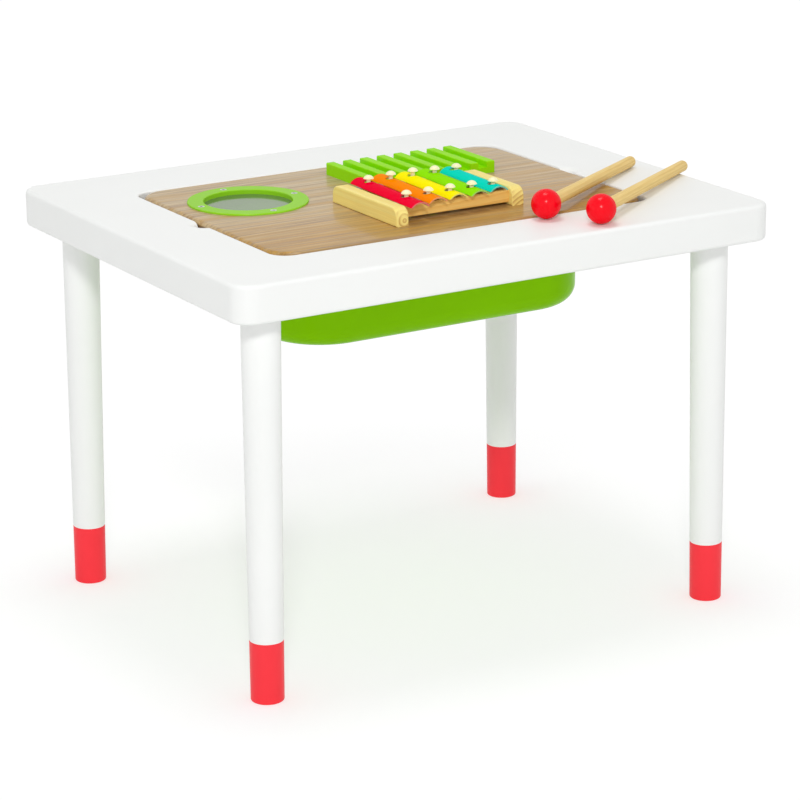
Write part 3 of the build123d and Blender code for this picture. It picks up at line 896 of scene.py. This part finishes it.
class ACTIVITY_TABLE_OT_xylophone(bpy.types.Operator):
    """Finish the xylophone's wood, bars, pins and felt"""

    bl_idname = "activity_table.xylophone"
    bl_label = "Xylophone"

    block_piths = {"left": (0.002, 0.0, -0.004), "right": (0.018, 0.0, -0.038)}
    rail_pith = Vector((0.0, 0.03, -0.02))
    clump_shade = 0.6

    def end_grain(self, pine, late):
        """Darken the rings where a block's grain is cut across."""
        tree = pine.node_tree
        bsdf = tree.nodes["Principled BSDF"]
        along = next(node for node in tree.nodes if node.type == "GROUP")
        inputs = {
            "Vector": along.inputs["Vector"].links[0].from_socket,
            "Ring Spacing": 0.0048,
            "Wander": along.inputs["Wander"].default_value,
            "Early Wood": along.inputs["Early Wood"].default_value,
            "Late Wood": (*late, 1.0),
            "Ring Strength": 0.75,
            "Fibre Strength": 0.1,
        }
        across = add(tree, "ShaderNodeGroup", inputs, node_tree=solid_timber())
        lengthwise = maths(tree, "ABSOLUTE", normal_axes(tree)[1])
        slanted, cut = 0.6, 0.9
        end = ramp(tree, lengthwise, slanted, cut)
        mixed = blend(tree, end, along.outputs["Color"], across.outputs["Color"])
        tree.links.new(mixed, bsdf.inputs["Base Color"])
        arrange(tree)

    def wood(self, finish):
        """Give each block and rail its own grain, round a pith near its middle."""
        for side, pith in self.block_piths.items():
            name = "xylo_block_" + side
            pine = timber(
                "pine_" + side,
                finish.block_pale,
                finish.block_dark,
                spacing=0.0042,
                turn=(0.0, radians(4), radians(-90)),
                pith=middle(name) + Vector(pith),
                roughness=finish.wood_roughness,
                shine=0.06,
            )
            self.end_grain(pine, finish.block_end)
            dress([name], pine)
        for side in ("front", "back"):
            name = "xylo_rail_" + side
            rail = timber(
                "rail_" + side,
                finish.rail_pale,
                finish.rail_dark,
                spacing=0.003,
                turn=(0.0, radians(3), 0.0),
                pith=middle(name) + self.rail_pith,
                roughness=finish.wood_roughness,
                shine=0.15,
            )
            dress([name], rail)
        dress(["rail_dowels"], bpy.data.materials["pine_left"])

    def bare_and_reflecting_edges(self, paint, metal):
        """Leave a bar's underside bare and pale its cut ends towards bare metal, partly as worn
        paint and partly as a painted reflection.
        """
        tree = paint.node_tree
        bsdf = tree.nodes["Principled BSDF"]
        axes = normal_axes(tree)
        # Painted reflection: the cut ends are paled towards bare metal, partly for paint worn thin
        # and partly for the pale reflection the ends catch.
        slanted, cut, worn_and_reflecting = 0.75, 0.9, 0.35
        ends = ramp(tree, maths(tree, "ABSOLUTE", axes[1]), slanted, cut, 0.0, worn_and_reflecting)
        level, under = 0.0, -0.3
        below = ramp(tree, axes[2], level, under)
        bare_and_reflection = maths(tree, "MAXIMUM", ends, below)
        painted = bsdf.inputs["Base Color"].links[0].from_socket
        tree.links.new(blend(tree, bare_and_reflection, painted, (*metal, 1.0)), bsdf.inputs["Base Color"])
        arrange(tree)

    def felt(self, finish):
        """Lay clumped felt under the bars."""
        material, tree, bsdf, place = finish_material("felt", 0.95)
        fibres = noise(tree, place, FELT_FIBRES, detail=4.0, roughness=0.7)
        clumps = noise(tree, place, FELT_CLUMPS, detail=3.0, roughness=0.6)
        light = (*finish.felt, 1.0)
        dark = (*[c * self.clump_shade for c in finish.felt], 1.0)
        share = ramp(tree, clumps, NOISE_LOW, NOISE_HIGH)
        tree.links.new(blend(tree, share, dark, light), bsdf.inputs["Base Color"])
        grooved(tree, bsdf, fibres, FELT_RELIEF)
        arrange(tree)
        dress(["felt_strip_front", "felt_strip_back"], material)

    def execute(self, context):
        finish = settings().xylophone
        self.wood(finish)
        self.felt(finish)
        for name in BARS:
            paint = coated(
                "bar_" + name,
                getattr(finish, name),
                finish.bar_roughness,
                ripple=0.004,
                shine=0.0,
                coat=0.06,
                coat_roughness=0.1,
            )
            self.bare_and_reflecting_edges(paint, finish.bare_metal)
            dress(["bar_" + name], paint)
        cream = coated(
            "pin_cream",
            finish.pin,
            finish.pin_roughness,
            ripple=0.003,
            depth=0.00002,
            tone=0.05,
        )
        dress(["bar_pins_front", "bar_pins_back"], cream)
        return {"FINISHED"}


class ACTIVITY_TABLE_OT_mallets(bpy.types.Operator):
    """Paint the mallet heads and oil their handles"""

    bl_idname = "activity_table.mallets"
    bl_label = "Mallets"

    handle_pith = Vector((0.0, 0.0, -0.011))

    def execute(self, context):
        finish = settings().mallets
        red = coated(
            "mallet_red",
            finish.head,
            finish.head_roughness,
            spread=0.02,
            ripple=0.004,
            depth=0.00002,
            shine=0.0,
            coat=0.36,
            coat_roughness=0.2,
        )
        grain = Vector((1.0, 0.0, 0.0))
        for name in ("mallet_a", "mallet_b"):
            head, stick = middle(name + "_head"), middle(name + "_handle")
            wood = timber(
                name + "_wood",
                finish.handle_pale,
                finish.handle_dark,
                spacing=0.0024,
                turn=(stick - head).rotation_difference(grain).to_euler(),
                pith=stick + self.handle_pith,
                roughness=finish.handle_roughness,
                rings=0.45,
                fibres=0.4,
                wander=0.3,
                shine=0.2,
            )
            dress([name + "_head"], red)
            dress([name + "_handle"], wood)
        return {"FINISHED"}


class ACTIVITY_TABLE_OT_hardware(bpy.types.Operator):
    """Plate the screws and bolts and turn the brass inserts"""

    bl_idname = "activity_table.hardware"
    bl_label = "Screws, Bolts and Inserts"

    def execute(self, context):
        finish = settings().hardware
        turned = {"spread": 0.1, "ripple": 0.001, "depth": 0.00002, "tone": 0.1, "metal": 1.0}
        zinc = coated("zinc", finish.zinc, finish.zinc_roughness, **turned)
        brass = coated("brass", finish.brass, finish.brass_roughness, **turned)
        dress(["ring_screws", "guiro_screws", "block_screws", "leg_bolts"], zinc)
        dress(["leg_inserts"], brass)
        return {"FINISHED"}


OPERATORS = (
    ACTIVITY_TABLE_OT_stage,
    ACTIVITY_TABLE_OT_table,
    ACTIVITY_TABLE_OT_tub,
    ACTIVITY_TABLE_OT_board,
    ACTIVITY_TABLE_OT_drum,
    ACTIVITY_TABLE_OT_scraper,
    ACTIVITY_TABLE_OT_xylophone,
    ACTIVITY_TABLE_OT_mallets,
    ACTIVITY_TABLE_OT_hardware,
)
STEPS = [each.bl_idname.split(".")[1] for each in OPERATORS]


class ACTIVITY_TABLE_PT_sidebar(bpy.types.Panel):
    """Settings and steps of the activity table"""

    bl_idname = "ACTIVITY_TABLE_PT_sidebar"
    bl_label = "Activity Table"
    bl_space_type = "VIEW_3D"
    bl_region_type = "UI"
    bl_category = "Activity Table"

    def draw(self, context):
        for step in STEPS:
            box = self.layout.box()
            group = getattr(settings(), step)
            for name in group.__annotations__:
                box.prop(group, name)
            box.operator("activity_table." + step)


CLASSES = (
    TableFinish,
    TubFinish,
    BoardFinish,
    DrumFinish,
    ScraperFinish,
    XylophoneFinish,
    MalletFinish,
    HardwareFinish,
    StageSettings,
    ActivityTableSettings,
    *OPERATORS,
    ACTIVITY_TABLE_PT_sidebar,
)


def register():
    """Add the settings, operators and panel."""
    for each in CLASSES:
        bpy.utils.register_class(each)
    bpy.types.Scene.activity_table = bpy.props.PointerProperty(type=ActivityTableSettings)


def unregister():
    """Take them away again."""
    del bpy.types.Scene.activity_table
    for each in reversed(CLASSES):
        bpy.utils.unregister_class(each)


def main():
    """Run every step in order."""
    register()
    for step in STEPS:
        getattr(bpy.ops.activity_table, step)()


if __name__ == "__main__":
    main()
